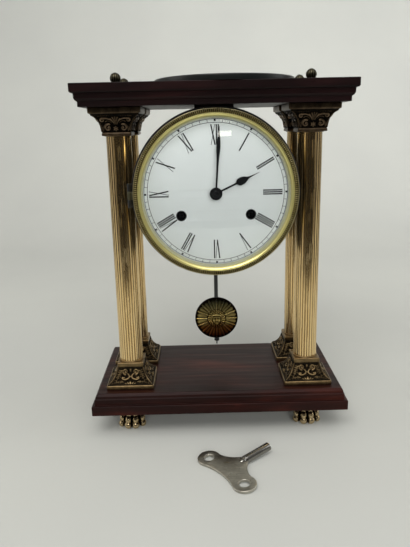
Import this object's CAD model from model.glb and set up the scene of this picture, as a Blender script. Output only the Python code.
import math

import bmesh
import bpy
import numpy as np
from mathutils import Matrix, Vector

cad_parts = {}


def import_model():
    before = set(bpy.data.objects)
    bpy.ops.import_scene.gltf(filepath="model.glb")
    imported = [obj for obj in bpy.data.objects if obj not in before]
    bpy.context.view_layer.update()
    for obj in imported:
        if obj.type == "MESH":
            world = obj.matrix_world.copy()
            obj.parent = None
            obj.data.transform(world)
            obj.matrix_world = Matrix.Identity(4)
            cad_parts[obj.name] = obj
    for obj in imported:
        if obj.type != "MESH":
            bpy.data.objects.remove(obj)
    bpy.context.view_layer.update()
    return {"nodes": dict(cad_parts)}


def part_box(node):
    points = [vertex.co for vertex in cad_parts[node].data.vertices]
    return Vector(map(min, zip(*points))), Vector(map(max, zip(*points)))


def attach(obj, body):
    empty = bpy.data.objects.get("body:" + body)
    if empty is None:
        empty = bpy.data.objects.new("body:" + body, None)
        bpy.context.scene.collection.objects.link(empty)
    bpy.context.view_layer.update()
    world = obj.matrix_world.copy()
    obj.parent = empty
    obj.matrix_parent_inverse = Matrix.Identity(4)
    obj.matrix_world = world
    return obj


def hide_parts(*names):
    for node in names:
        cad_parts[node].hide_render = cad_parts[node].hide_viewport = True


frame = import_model()
NODES = frame["nodes"]
MM = 0.001
_lo, _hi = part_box("base_board")
CY = (_lo.y + _hi.y) / 2  # the clock's own middle, front to back
_lo, _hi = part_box("dial_plate")
DZ = (_lo.z + _hi.z) / 2 / MM  # height of the dial's centre
COL = [(sx * 88.3, sy * 30.4) for sx in (-1, 1) for sy in (-1, 1)]
CORNER = {(-1, -1): "front_left", (1, -1): "front_right", (-1, 1): "rear_left", (1, 1): "rear_right"}


# ---------------------------------------------------------------- mesh helpers (millimetres, clock frame)
def world(V):
    W = np.asarray(V, float) * MM
    W[:, 1] += CY
    return W


def make(name, V, F, mat, body="case", rep=(), smooth=35, attrs=None, recalc=True, weighted=False, local=False):
    me = bpy.data.meshes.new(name)
    me.from_pydata((np.asarray(V, float) * MM if local else world(V)).tolist(), [], [tuple(int(i) for i in f) for f in F])
    for k, v in (attrs or {}).items():
        a = me.attributes.new(k, "FLOAT", "POINT")
        a.data.foreach_set("value", np.asarray(v, np.float32))
    if recalc:
        bm = bmesh.new()
        bm.from_mesh(me)
        bmesh.ops.recalc_face_normals(bm, faces=bm.faces)
        bm.to_mesh(me)
        bm.free()
    me.polygons.foreach_set("use_smooth", [True] * len(me.polygons))
    me.set_sharp_from_angle(angle=math.radians(smooth))
    me.materials.append(mat)
    o = bpy.data.objects.new(name, me)
    bpy.context.scene.collection.objects.link(o)
    if weighted:
        w = o.modifiers.new("weights", "WEIGHTED_NORMAL")
        w.keep_sharp = True
    if body:
        place(o, body, rep)
    return o


def place(o, body, rep=()):
    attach(o, body)
    if rep:
        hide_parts(*([rep] if isinstance(rep, str) else rep))
    return o


def merge(parts):
    """Several (V, F) or (V, F, values) into one"""
    Vs, Fs, As, n = [], [], [], 0
    for p in parts:
        V = np.asarray(p[0], float)
        Vs.append(V)
        Fs += [tuple(i + n for i in f) for f in p[1]]
        As.append(np.asarray(p[2], float) if len(p) > 2 else np.full(len(V), 0.6))
        n += len(V)
    return np.vstack(Vs), Fs, np.concatenate(As)


def fillet(P, R, closed=True, k=5):
    """Rounds the corners of an outline; R is one radius or one for each point"""
    P = [np.array(p, float) for p in P]
    n = len(P)
    out = []
    for i in range(n):
        r = R[i] if hasattr(R, "__len__") else R
        if r <= 0 or (not closed and i in (0, n - 1)):
            out.append(tuple(P[i]))
            continue
        a, b = P[i - 1] - P[i], P[(i + 1) % n] - P[i]
        la, lb = np.linalg.norm(a), np.linalg.norm(b)
        a, b = a / la, b / lb
        ang = math.acos(max(-1, min(1, float(a @ b))))
        if ang > math.pi - 0.02:
            out.append(tuple(P[i]))
            continue
        t = min(r / math.tan(ang / 2), 0.48 * la, 0.48 * lb)
        r = t * math.tan(ang / 2)
        c = P[i] + (a + b) / np.linalg.norm(a + b) * (r / math.sin(ang / 2))
        u, v = P[i] + a * t - c, P[i] + b * t - c
        w = math.acos(max(-1, min(1, float(u @ v) / (r * r))))
        for j in range(k + 1):
            s = j / k
            q = c + (u * math.sin((1 - s) * w) + v * math.sin(s * w)) / max(math.sin(w), 1e-9)
            out.append(tuple(q))
    return out


def bez(p0, p1, p2, p3, n=14):
    t = np.linspace(0, 1, n + 1)[:, None]
    p0, p1, p2, p3 = (np.array(p, float) for p in (p0, p1, p2, p3))
    return [tuple(q) for q in (1 - t) ** 3 * p0 + 3 * (1 - t) ** 2 * t * p1 + 3 * (1 - t) * t * t * p2 + t ** 3 * p3]


def spline(P, n=8, closed=False):
    """Smooth curve through the points"""
    P = [np.array(p, float) for p in P]
    m = len(P)
    out = []
    for i in range(m if closed else m - 1):
        g = (lambda j: P[j % m]) if closed else (lambda j: P[max(0, min(m - 1, j))])
        a, b, c, d = g(i - 1), g(i), g(i + 1), g(i + 2)
        for k in range(n):
            t = k / n
            out.append(tuple(0.5 * (2 * b + (c - a) * t + (2 * a - 5 * b + 4 * c - d) * t * t + (3 * b - a - 3 * c + d) * t ** 3)))
    if not closed:
        out.append(tuple(P[-1]))
    return out


def lathe(prof, n, axis="y", c=(0, 0), closed=True, rfun=None, ph=0.0):
    """Revolves [radius, along] points about an axis through c; rfun(angle, radius, along) gives a changed radius"""
    a = ph + np.arange(n) * 2 * math.pi / n
    V, rings = [], []
    for r, h in prof:
        if abs(r) < 1e-7:
            rings.append([len(V)])
            V.append((c[0], h, c[1]) if axis == "y" else (c[0], c[1], h))
            continue
        rr = rfun(a, r, h) if rfun else np.full(n, r)
        rings.append(list(range(len(V), len(V) + n)))
        x, y = rr * np.sin(a), rr * np.cos(a)
        for i in range(n):
            V.append((c[0] + x[i], h, c[1] + y[i]) if axis == "y" else (c[0] + x[i], c[1] + y[i], h))
    F = []
    m = len(rings)
    for k in range(m if closed else m - 1):
        A, B = rings[k], rings[(k + 1) % m]
        if len(A) == 1 and len(B) == 1:
            continue
        for i in range(n):
            j = (i + 1) % n
            if len(A) == 1:
                F.append((A[0], B[i], B[j]))
            elif len(B) == 1:
                F.append((A[i], B[0], A[j]))
            else:
                F.append((A[i], B[i], B[j], A[j]))
    return np.array(V), F


def sweep_rect(prof, w, d, rc=0.7, kc=4):
    """Runs a moulding round a rectangle: prof is [outset, height] from bottom to top, with flat ends"""
    V, rings = [], []
    for o, z in prof:
        W, D = w + o, d + o
        ring = []
        for sx, sy, a0 in ((1, 1, 0), (-1, 1, 90), (-1, -1, 180), (1, -1, 270)):
            for k in range(kc + 1):
                a = math.radians(a0 + 90 * k / kc)
                ring.append(len(V))
                V.append((sx * (W - rc) + rc * math.cos(a), sy * (D - rc) + rc * math.sin(a), z))
        rings.append(ring)
    F = []
    n = len(rings[0])
    for A, B in zip(rings[:-1], rings[1:]):
        for i in range(n):
            j = (i + 1) % n
            F.append((A[i], A[j], B[j], B[i]))
    F.append(tuple(reversed(rings[0])))
    F.append(tuple(rings[-1]))
    return np.array(V), F


def tube_box(x0, x1, y0, y1, z0, z1, b=0.15):
    """Box with chamfered edges"""
    bm = bmesh.new()
    bmesh.ops.create_cube(bm, size=1)
    for v in bm.verts:
        v.co = Vector((x0 + (v.co.x + 0.5) * (x1 - x0), y0 + (v.co.y + 0.5) * (y1 - y0), z0 + (v.co.z + 0.5) * (z1 - z0)))
    bmesh.ops.bevel(bm, geom=list(bm.edges), offset=b, segments=2, profile=0.5, affect="EDGES")
    bm.verts.index_update()
    V = [tuple(v.co) for v in bm.verts]
    F = [tuple(v.index for v in f.verts) for f in bm.faces]
    bm.free()
    return np.array(V), F


def plate(outlines, half, bevel, res=3, name="outline"):
    """Flat plate in the XY plane from closed outlines (holes included), with rounded edges; returns V, F"""
    cu = bpy.data.curves.new(name, "CURVE")
    cu.dimensions = "2D"
    cu.fill_mode = "BOTH"
    cu.extrude = half - bevel
    cu.bevel_depth = bevel
    cu.bevel_resolution = res
    cu.offset = -bevel
    for pts in outlines:
        s = cu.splines.new("POLY")
        s.points.add(len(pts) - 1)
        for p, q in zip(s.points, pts):
            p.co = (q[0], q[1], 0, 1)
        s.use_cyclic_u = True
    o = bpy.data.objects.new(name, cu)
    bpy.context.scene.collection.objects.link(o)
    bpy.context.view_layer.update()
    me = bpy.data.meshes.new_from_object(o.evaluated_get(bpy.context.evaluated_depsgraph_get()))
    bm = bmesh.new()
    bm.from_mesh(me)
    bmesh.ops.remove_doubles(bm, verts=bm.verts, dist=1e-4)
    bm.verts.index_update()
    V = np.array([tuple(v.co) for v in bm.verts])
    F = [tuple(v.index for v in f.verts) for f in bm.faces]
    bm.free()
    bpy.data.meshes.remove(me)
    bpy.data.objects.remove(o)
    bpy.data.curves.remove(cu)
    return V, F


def circle(x, y, r, n=96, ph=0.0):
    return [(x + r * math.cos(2 * math.pi * i / n + ph), y + r * math.sin(2 * math.pi * i / n + ph)) for i in range(n)]


def to_face(V, y):
    """Plate in XY stood up as a front view round the dial's centre, its middle at depth y"""
    V = np.asarray(V)
    return np.column_stack([V[:, 0], y - V[:, 2], DZ + V[:, 1]])


def turn2(P, deg):
    a = math.radians(deg)
    return [(p[0] * math.cos(a) + p[1] * math.sin(a), -p[0] * math.sin(a) + p[1] * math.cos(a)) for p in P]


# ---------------------------------------------------------------- materials
class Mat:
    def __init__(self, name):
        self.m = bpy.data.materials.new(name)
        self.m.use_nodes = True
        self.t = self.m.node_tree
        self.t.nodes.clear()
        self.out = self.t.nodes.new("ShaderNodeOutputMaterial")
        self.b = self.t.nodes.new("ShaderNodeBsdfPrincipled")
        self.t.links.new(self.b.outputs[0], self.out.inputs[0])
        self.co = self.t.nodes.new("ShaderNodeTexCoord").outputs["Object"]

    def set(self, **kw):
        for k, v in kw.items():
            s = self.b.inputs[k.replace("_", " ")]
            if hasattr(v, "links"):
                self.t.links.new(v, s)
            else:
                s.default_value = v if not isinstance(v, tuple) else (*v, 1.0)
        return self

    def node(self, kind, ins=None, **props):
        n = self.t.nodes.new(kind)
        for k, v in props.items():
            setattr(n, k, v)
        for k, v in (ins or {}).items():
            if hasattr(v, "links"):
                self.t.links.new(v, n.inputs[k])
            else:
                n.inputs[k].default_value = v
        return n

    def map(self, sx, sy, sz, rot=(0, 0, 0), off=(0, 0, 0)):
        return self.node("ShaderNodeMapping", {"Vector": self.co, "Scale": (sx, sy, sz), "Rotation": rot, "Location": off}).outputs[0]

    def noise(self, vec, scale=1.0, detail=4.0, rough=0.55, dist=0.0):
        return self.node("ShaderNodeTexNoise", {"Vector": vec, "Scale": scale, "Detail": detail, "Roughness": rough, "Distortion": dist}).outputs["Fac"]

    def ramp(self, fac, stops, interp="LINEAR"):
        n = self.node("ShaderNodeValToRGB", {"Fac": fac})
        n.color_ramp.interpolation = interp
        e = n.color_ramp.elements
        while len(e) > 1:
            e.remove(e[-1])
        for i, (p, c) in enumerate(stops):
            c = (c, c, c) if not hasattr(c, "__len__") else c
            if i == 0:
                e[0].position, e[0].color = p, (*c, 1)
            else:
                q = e.new(p)
                q.color = (*c, 1)
        return n.outputs[0]

    def mixc(self, fac, a, b, mode="MIX"):
        n = self.t.nodes.new("ShaderNodeMix")
        n.data_type = "RGBA"
        n.blend_type = mode
        for s, v in ((n.inputs[0], fac), (n.inputs[6], a), (n.inputs[7], b)):
            if hasattr(v, "links"):
                self.t.links.new(v, s)
            else:
                s.default_value = v if not isinstance(v, tuple) else (*v, 1.0)
        return n.outputs[2]

    def math(self, op, a, b=0.0, clamp=False):
        n = self.node("ShaderNodeMath", {0: a, 1: b}, operation=op, use_clamp=clamp)
        return n.outputs[0]

    def range(self, v, a, b, c, d):
        return self.node("ShaderNodeMapRange", {"Value": v, "From Min": a, "From Max": b, "To Min": c, "To Max": d}).outputs[0]

    def attr(self, name):
        return self.node("ShaderNodeAttribute", attribute_name=name, attribute_type="GEOMETRY").outputs["Fac"]

    def bump(self, h, dist, strength=1.0):
        n = self.node("ShaderNodeBump", {"Height": h, "Distance": dist, "Strength": strength})
        self.set(Normal=n.outputs[0])
        return self


def srgb(h):
    h = h.lstrip("#")
    c = [int(h[i:i + 2], 16) / 255 for i in (0, 2, 4)]
    return tuple(x / 12.92 if x <= 0.04045 else ((x + 0.055) / 1.055) ** 2.4 for x in c)


def wood(name, dark, mid, light, gloss=0.3):
    m = Mat(name)
    flow = m.noise(m.map(5, 26, 26), 1.0, 5, 0.6, 1.1)
    streak = m.noise(m.map(9, 210, 210), 1.0, 4, 0.65, 0.25)
    pores = m.noise(m.map(55, 1500, 1500), 1.0, 2, 0.5)
    c = m.ramp(flow, [(0.25, dark), (0.5, mid), (0.78, light)])
    c = m.mixc(m.range(streak, 0.35, 0.75, 0.0, 0.75), c, dark)
    c = m.mixc(m.range(pores, 0.55, 0.75, 0.0, 0.55), c, tuple(x * 0.35 for x in dark))
    m.set(Base_Color=c, Roughness=m.range(streak, 0.3, 0.7, gloss, gloss + 0.14), Coat_Weight=0.02, Coat_Roughness=0.22, Specular_IOR_Level=0.13)
    m.bump(m.math("ADD", m.math("MULTIPLY", pores, 0.6), streak), 0.00012, 0.5)
    return m.m


def worn_brass(name, deep, tone, high, rough=(0.55, 0.24), attr="rel", metal=1.0, fine=1.0):
    """Old brass: dark in the recesses, rubbed bright on what stands out"""
    m = Mat(name)
    n = m.noise(m.map(160, 160, 160), 1.0, 5, 0.65)
    g = m.noise(m.map(1400, 1400, 1400), 1.0, 3, 0.5)
    r = m.attr(attr)
    f = m.math("ADD", r, m.math("MULTIPLY", m.math("SUBTRACT", n, 0.5), 0.55), True)
    c = m.ramp(f, [(0.1, deep), (0.42, tone), (0.85, high)])
    c = m.mixc(m.range(g, 0.45, 0.8, 0.0, 0.35), c, tuple(x * 0.55 for x in tone))
    m.set(Base_Color=c, Metallic=metal, Roughness=m.range(f, 0.1, 0.9, rough[0], rough[1]))
    m.bump(m.math("ADD", g, n), 0.00006 * fine, 0.6)
    return m.m


def clean_metal(name, base, alt, rough=0.2, spread=0.12, brush=(300, 300, 300), bump=0.00002, tarnish=0.25, metal=1.0):
    m = Mat(name)
    big = m.noise(m.map(55, 55, 55), 1.0, 4, 0.6)
    fine = m.noise(m.map(*brush), 1.0, 4, 0.6)
    c = m.mixc(m.range(big, 0.35, 0.75, 0.0, tarnish * 2), base, alt)
    c = m.mixc(m.range(fine, 0.4, 0.8, 0.0, tarnish), c, tuple(x * 0.72 for x in alt))
    m.set(Base_Color=c, Metallic=metal, Roughness=m.range(fine, 0.3, 0.75, rough, rough + spread))
    m.bump(fine, bump, 0.6)
    return m.m


def lacquer(name, base, alt, rough=0.25, coat=0.5, metal=0.0):
    m = Mat(name)
    n = m.noise(m.map(90, 90, 90), 1.0, 5, 0.6)
    g = m.noise(m.map(900, 900, 900), 1.0, 3, 0.5)
    c = m.mixc(m.range(n, 0.35, 0.7, 0.0, 1.0), base, alt)
    m.set(Base_Color=c, Roughness=m.range(g, 0.3, 0.7, rough, rough + 0.15), Coat_Weight=coat, Coat_Roughness=0.1, Metallic=metal)
    m.bump(g, 0.00003, 0.4)
    return m.m


MAHOGANY = wood("mahogany_polished", srgb("#0e0605"), srgb("#260d09"), srgb("#4c1e12"), 0.36)
MAHOGANY_DARK = wood("mahogany_dark", srgb("#0a0505"), srgb("#150909"), srgb("#281211"), 0.34)
ANTIQUE = worn_brass("antique_brass_cast", srgb("#171511"), srgb("#463a29"), srgb("#a38a62"), (0.55, 0.34))
ANTIQUE_DARK = worn_brass("antique_brass_capital", srgb("#0d0c0a"), srgb("#2e261c"), srgb("#84705a"), (0.55, 0.36))
ANTIQUE_FEET = worn_brass("antique_brass_feet", srgb("#15110c"), srgb("#5c4c36"), srgb("#c8b28a"), (0.5, 0.24))
FINIAL = worn_brass("finial_brass", srgb("#10100d"), srgb("#2f2c22"), srgb("#605a48"), (0.5, 0.3))


def shaft_metal():
    """Lacquered brass tube: dirt left in the flutes, thin streaks of tarnish along the lands"""
    m = Mat("shaft_brass")
    streak = m.noise(m.map(620, 620, 7), 1.0, 4, 0.6)
    cloud = m.noise(m.map(70, 70, 22), 1.0, 4, 0.6)
    grain = m.noise(m.map(900, 900, 900), 1.0, 2, 0.5)
    c = m.mixc(m.range(streak, 0.35, 0.72, 0.0, 0.7), srgb("#ffe2aa"), srgb("#d4b074"))
    c = m.mixc(m.range(cloud, 0.42, 0.75, 0.0, 0.4), c, srgb("#b89a6a"))
    c = m.mixc(m.range(m.attr("rel"), 0.1, 0.8, 0.7, 0.0), c, srgb("#5a4526"))
    m.set(Base_Color=c, Metallic=1.0, Roughness=m.range(streak, 0.3, 0.75, 0.15, 0.24))
    m.bump(m.math("ADD", streak, m.math("MULTIPLY", grain, 0.3)), 0.00004, 0.5)
    return m.m


def bob_metal():
    """Stamped brass under old lacquer: gold at mid height, greenish black above, red brown below"""
    m = Mat("sunburst_brass")
    n = m.noise(m.map(150, 150, 150), 1.0, 5, 0.65)
    g = m.noise(m.map(1400, 1400, 1400), 1.0, 3, 0.5)
    z = m.node("ShaderNodeSeparateXYZ", {"Vector": m.co}).outputs[2]
    zz = m.math("ADD", m.range(z, 0.0755, 0.121, 0.0, 1.0), m.math("MULTIPLY", m.math("SUBTRACT", n, 0.5), 0.3), True)
    tint = m.ramp(zz, [(0.08, srgb("#5c2a14")), (0.3, srgb("#8a5a2a")), (0.46, srgb("#e0c67a")), (0.66, srgb("#d6bf78")), (0.82, srgb("#847c54")), (0.95, srgb("#34352a"))])
    f = m.math("ADD", m.attr("rel"), m.math("MULTIPLY", m.math("SUBTRACT", n, 0.5), 0.4), True)
    c = m.mixc(m.range(f, 0.28, 0.8, 0.0, 1.0), srgb("#140d07"), tint)
    m.set(Base_Color=c, Metallic=1.0, Roughness=m.range(f, 0.1, 0.9, 0.4, 0.2))
    m.bump(g, 0.00004, 0.5)
    return m.m


SHAFT = shaft_metal()
BOB_BRASS = bob_metal()
BEZEL = clean_metal("bezel_brass", srgb("#e2d992"), srgb("#d3c67e"), 0.3, 0.08, (500, 500, 500), 0.00001, 0.15, 0.85)
ROPE = clean_metal("rope_brass", srgb("#8a743a"), srgb("#6d5826"), 0.32, 0.15, (900, 900, 900), 0.00003, 0.4)
MOVEMENT = clean_metal("movement_brass_sheet", srgb("#d2ab5c"), srgb("#b88f45"), 0.24, 0.14, (60, 60, 900), 0.00002, 0.3)
ARBOR = clean_metal("dark_arbor_steel", srgb("#2c2d30"), srgb("#1c1d20"), 0.35, 0.15, (400, 400, 400), 0.00002, 0.25)
STEEL = clean_metal("arbor_steel", srgb("#a9abad"), srgb("#85878a"), 0.25, 0.15, (400, 400, 400), 0.00002, 0.25)
BLUED = clean_metal("spring_steel", srgb("#6f7176"), srgb("#4b4e55"), 0.3, 0.15, (400, 400, 400), 0.00002, 0.25)
BELL = clean_metal("bell_bronze", srgb("#d8b87a"), srgb("#b69354"), 0.18, 0.12, (200, 200, 200), 0.00002, 0.35)
NICKEL = clean_metal("nickel_worn", srgb("#cbc7bb"), srgb("#8d887d"), 0.26, 0.14, (140, 700, 700), 0.00004, 0.5)
NICKEL_BRIGHT = clean_metal("nickel_bright", srgb("#8e8c86"), srgb("#62605b"), 0.1, 0.06, (500, 500, 500), 0.00001, 0.25)
JAPAN = lacquer("black_japan_paint", srgb("#0c0c0b"), srgb("#171614"), 0.3, 0.5)
HANDS = lacquer("blackened_hands", srgb("#07080a"), srgb("#0f1114"), 0.35, 0.35)
PRINT = lacquer("dial_print", srgb("#040506"), srgb("#08090b"), 0.7, 0.0)


def enamel():
    m = Mat("dial_enamel")
    n = m.noise(m.map(40, 40, 40), 1.0, 4, 0.6)
    g = m.noise(m.map(700, 700, 700), 1.0, 3, 0.5)
    c = m.mixc(m.range(n, 0.35, 0.7, 0.0, 1.0), srgb("#dfe5e2"), srgb("#dae0dd"))
    c = m.mixc(m.range(g, 0.62, 0.8, 0.0, 0.25), c, srgb("#cfd3cc"))
    m.set(Base_Color=c, Roughness=m.range(g, 0.3, 0.7, 0.5, 0.6), Coat_Weight=0.04, Coat_Roughness=0.3, Specular_IOR_Level=0.35)
    m.bump(g, 0.00001, 0.3)
    return m.m


def pane():
    """Thin clear pane: see-through, with the sharp reflections of glass at its surface"""
    m = Mat("clear_glass_pane")
    t = m.t
    t.nodes.remove(m.b)
    n = m.noise(m.map(30, 30, 30), 1.0, 3, 0.5)
    clear = t.nodes.new("ShaderNodeBsdfTransparent")
    clear.inputs[0].default_value = (0.99, 0.99, 0.992, 1)
    gloss = m.node("ShaderNodeBsdfGlossy", {"Roughness": m.range(n, 0.3, 0.7, 0.0, 0.03)})
    gloss.inputs["Color"].default_value = (1, 1, 1, 1)
    fres = m.node("ShaderNodeFresnel", {"IOR": 1.45})
    mix = t.nodes.new("ShaderNodeMixShader")
    t.links.new(fres.outputs[0], mix.inputs[0])
    t.links.new(clear.outputs[0], mix.inputs[1])
    t.links.new(gloss.outputs[0], mix.inputs[2])
    t.links.new(mix.outputs[0], m.out.inputs[0])
    return m.m


ENAMEL = enamel()
PANE = pane()


# ---------------------------------------------------------------- relief drawing
def ridge(X, Y, pts, w, h):
    """Rounded ridge along a line; half width and height go from start to end"""
    out = np.zeros_like(X)
    n = len(pts) - 1
    for i in range(n):
        (x0, y0), (x1, y1) = pts[i], pts[i + 1]
        dx, dy = x1 - x0, y1 - y0
        t = np.clip(((X - x0) * dx + (Y - y0) * dy) / (dx * dx + dy * dy + 1e-12), 0, 1)
        s = (i + t) / n
        ww, hh = w[0] + (w[1] - w[0]) * s, h[0] + (h[1] - h[0]) * s
        q = np.clip(1 - ((X - x0 - t * dx) ** 2 + (Y - y0 - t * dy) ** 2) / (ww * ww), 0, 1)
        out = np.maximum(out, hh * np.sqrt(q))
    return out


def blob(X, Y, cx, cy, rx, ry, deg, h):
    c, s = math.cos(math.radians(deg)), math.sin(math.radians(deg))
    x, y = (X - cx) * c + (Y - cy) * s, -(X - cx) * s + (Y - cy) * c
    return h * np.sqrt(np.clip(1 - (x / rx) ** 2 - (y / ry) ** 2, 0, 1))


def spiral(cx, cy, r0, r1, a0, a1, n=30):
    return [(cx + (r0 + (r1 - r0) * i / n) * math.cos(math.radians(a0 + (a1 - a0) * i / n)),
             cy + (r0 + (r1 - r0) * i / n) * math.sin(math.radians(a0 + (a1 - a0) * i / n))) for i in range(n + 1)]


def leaf(X, Y, pts, lobes, size, h, side=(-1, 1)):
    """Scrolling leaf: a stem with lobes to its sides that get smaller towards the tip"""
    out = ridge(X, Y, pts, (size * 0.34, size * 0.16), (h, h * 0.7))
    n = len(pts) - 1
    for k in range(lobes):
        s = (k + 0.6) / lobes
        i = min(n - 1, int(s * n))
        p, q = pts[i], pts[i + 1]
        a = math.atan2(q[1] - p[1], q[0] - p[0])
        z = 1 - 0.5 * s
        for sd in side:
            b = a + sd * 0.95
            d = size * 0.62 * z
            out = np.maximum(out, blob(X, Y, p[0] + d * math.cos(b), p[1] + d * math.sin(b), size * 0.7 * z, size * 0.27 * z, math.degrees(b), h * 0.85))
    return out


def base_relief(x, y):
    """Height of the ornament on a column base: x across the face, y up it from the plinth"""
    X, Y = np.abs(x), y
    h = 0.62 * np.abs(np.sin(X * 2.3 + 0.9 * Y + 0.7 * np.sin(Y * 1.3)) * np.sin(Y * 2.1 - 0.8 * X + 0.9 * np.sin(X * 1.1))) ** 1.4
    vol = spiral(5.1, 14.3, 2.8, 1.0, -85, 330, 36)
    h = np.maximum(h, ridge(X, Y, vol, (0.95, 0.6), (1.4, 1.1)))
    h = np.maximum(h, blob(X, Y, 5.1, 14.3, 1.0, 1.0, 0, 1.3))
    h = np.maximum(h, ridge(X, Y, bez((3.3, 12.3), (0.3, 10.6), (0.7, 7.8), (3.6, 6.7)), (0.75, 0.95), (1.05, 1.35)))
    h = np.maximum(h, ridge(X, Y, bez((3.6, 6.7), (6.4, 5.6), (9.0, 6.6), (8.0, 8.8)), (0.95, 0.7), (1.35, 1.1)))
    h = np.maximum(h, blob(X, Y, 6.6, 8.0, 1.15, 1.15, 0, 1.35))
    h = np.maximum(h, blob(X, Y, 0, 15.6, 1.15, 1.8, 0, 1.15))
    h = np.maximum(h, blob(X, Y, 0, 9.2, 0.75, 1.3, 0, 1.0))
    h = np.maximum(h, blob(X, Y, 0, 2.7, 1.2, 2.3, 0, 1.3))
    h = np.maximum(h, blob(X, Y, 2.4, 2.3, 0.95, 2.0, -34, 1.15))
    h = np.maximum(h, blob(X, Y, 4.6, 1.9, 0.8, 1.8, -54, 1.0))
    h = np.maximum(h, leaf(X, Y, bez((8.4, 15.4), (11.9, 14.4), (10.8, 8.6), (14.6, 4.6)), 6, 2.5, 1.1, (-1, 1)))
    h = np.maximum(h, leaf(X, Y, bez((7.4, 3.6), (10.4, 4.6), (14.0, 3.2), (18.6, 1.9)), 6, 2.0, 1.0, (-1, 1)))
    h = np.maximum(h, leaf(X, Y, bez((9.4, 11.0), (10.6, 12.6), (11.2, 14.4), (12.0, 16.6)), 3, 1.3, 0.85, (-1, 1)))
    for px, py, deg in ((16.2, 6.0, 50), (13.9, 8.8, 40), (12.6, 11.4, 60), (18.6, 4.0, 30), (9.9, 8.9, 100), (5.6, 10.6, 20)):
        h = np.maximum(h, blob(X, Y, px, py, 1.25, 0.55, deg, 0.85))
    return h


def capital_relief(x, y):
    """Height of the ornament on a capital: x across the face, y up it from the collar"""
    X, Y = np.abs(x), y
    h = 0.62 * np.abs(np.sin(X * 2.3 + 0.9 * Y + 0.7 * np.sin(Y * 1.3)) * np.sin(Y * 2.1 - 0.8 * X + 0.9 * np.sin(X * 1.1))) ** 1.4
    for k in range(6):
        b = math.radians(60 * k + 30)
        h = np.maximum(h, blob(X, Y, 1.5 * math.cos(b), 3.3 + 1.5 * math.sin(b), 1.25, 0.8, 60 * k + 30, 1.35))
    h = np.maximum(h, blob(X, Y, 0, 3.3, 0.8, 0.8, 0, 1.75))
    h = np.maximum(h, ridge(X, Y, spiral(6.7, 4.2, 3.2, 1.0, 110, -270, 36), (1.05, 0.65), (1.5, 1.15)))
    h = np.maximum(h, blob(X, Y, 6.7, 4.2, 1.1, 1.1, 0, 1.5))
    h = np.maximum(h, ridge(X, Y, bez((5.5, 7.3), (8.4, 8.4), (10.6, 6.4), (10.9, 2.2)), (0.9, 0.7), (1.3, 1.0)))
    h = np.maximum(h, ridge(X, Y, bez((1.2, 7.4), (2.4, 11.6), (6.4, 14.6), (10.9, 13.4)), (0.6, 1.2), (1.0, 1.6)))
    h = np.maximum(h, ridge(X, Y, spiral(11.4, 11.6, 2.0, 0.8, 80, -200, 20), (1.1, 0.7), (1.6, 1.2)))
    h = np.maximum(h, ridge(X, Y, bez((3.4, 8.6), (5.2, 11.0), (7.4, 11.4), (8.8, 10.0)), (0.5, 0.7), (0.9, 1.1)))
    for t, r in ((0, 15.4), (14, 15.0), (29, 14.0)):
        a = math.radians(t)
        h = np.maximum(h, ridge(X, Y, [(0.2 * math.sin(a), 7.0), (r * 0.62 * math.sin(a), 7.0 + (r - 7.0) * math.cos(a))], (0.4, 0.85), (0.8, 1.2)))
    h = np.maximum(h, leaf(X, Y, bez((11.0, 1.4), (12.8, 5.0), (14.4, 9.8), (17.8, 14.4)), 7, 2.0, 1.1, (-1, 1)))
    h = np.maximum(h, leaf(X, Y, bez((15.0, 16.4), (12.0, 17.2), (8.0, 17.4), (4.0, 16.6)), 5, 1.5, 0.95, (-1, 1)))
    return h


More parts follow.
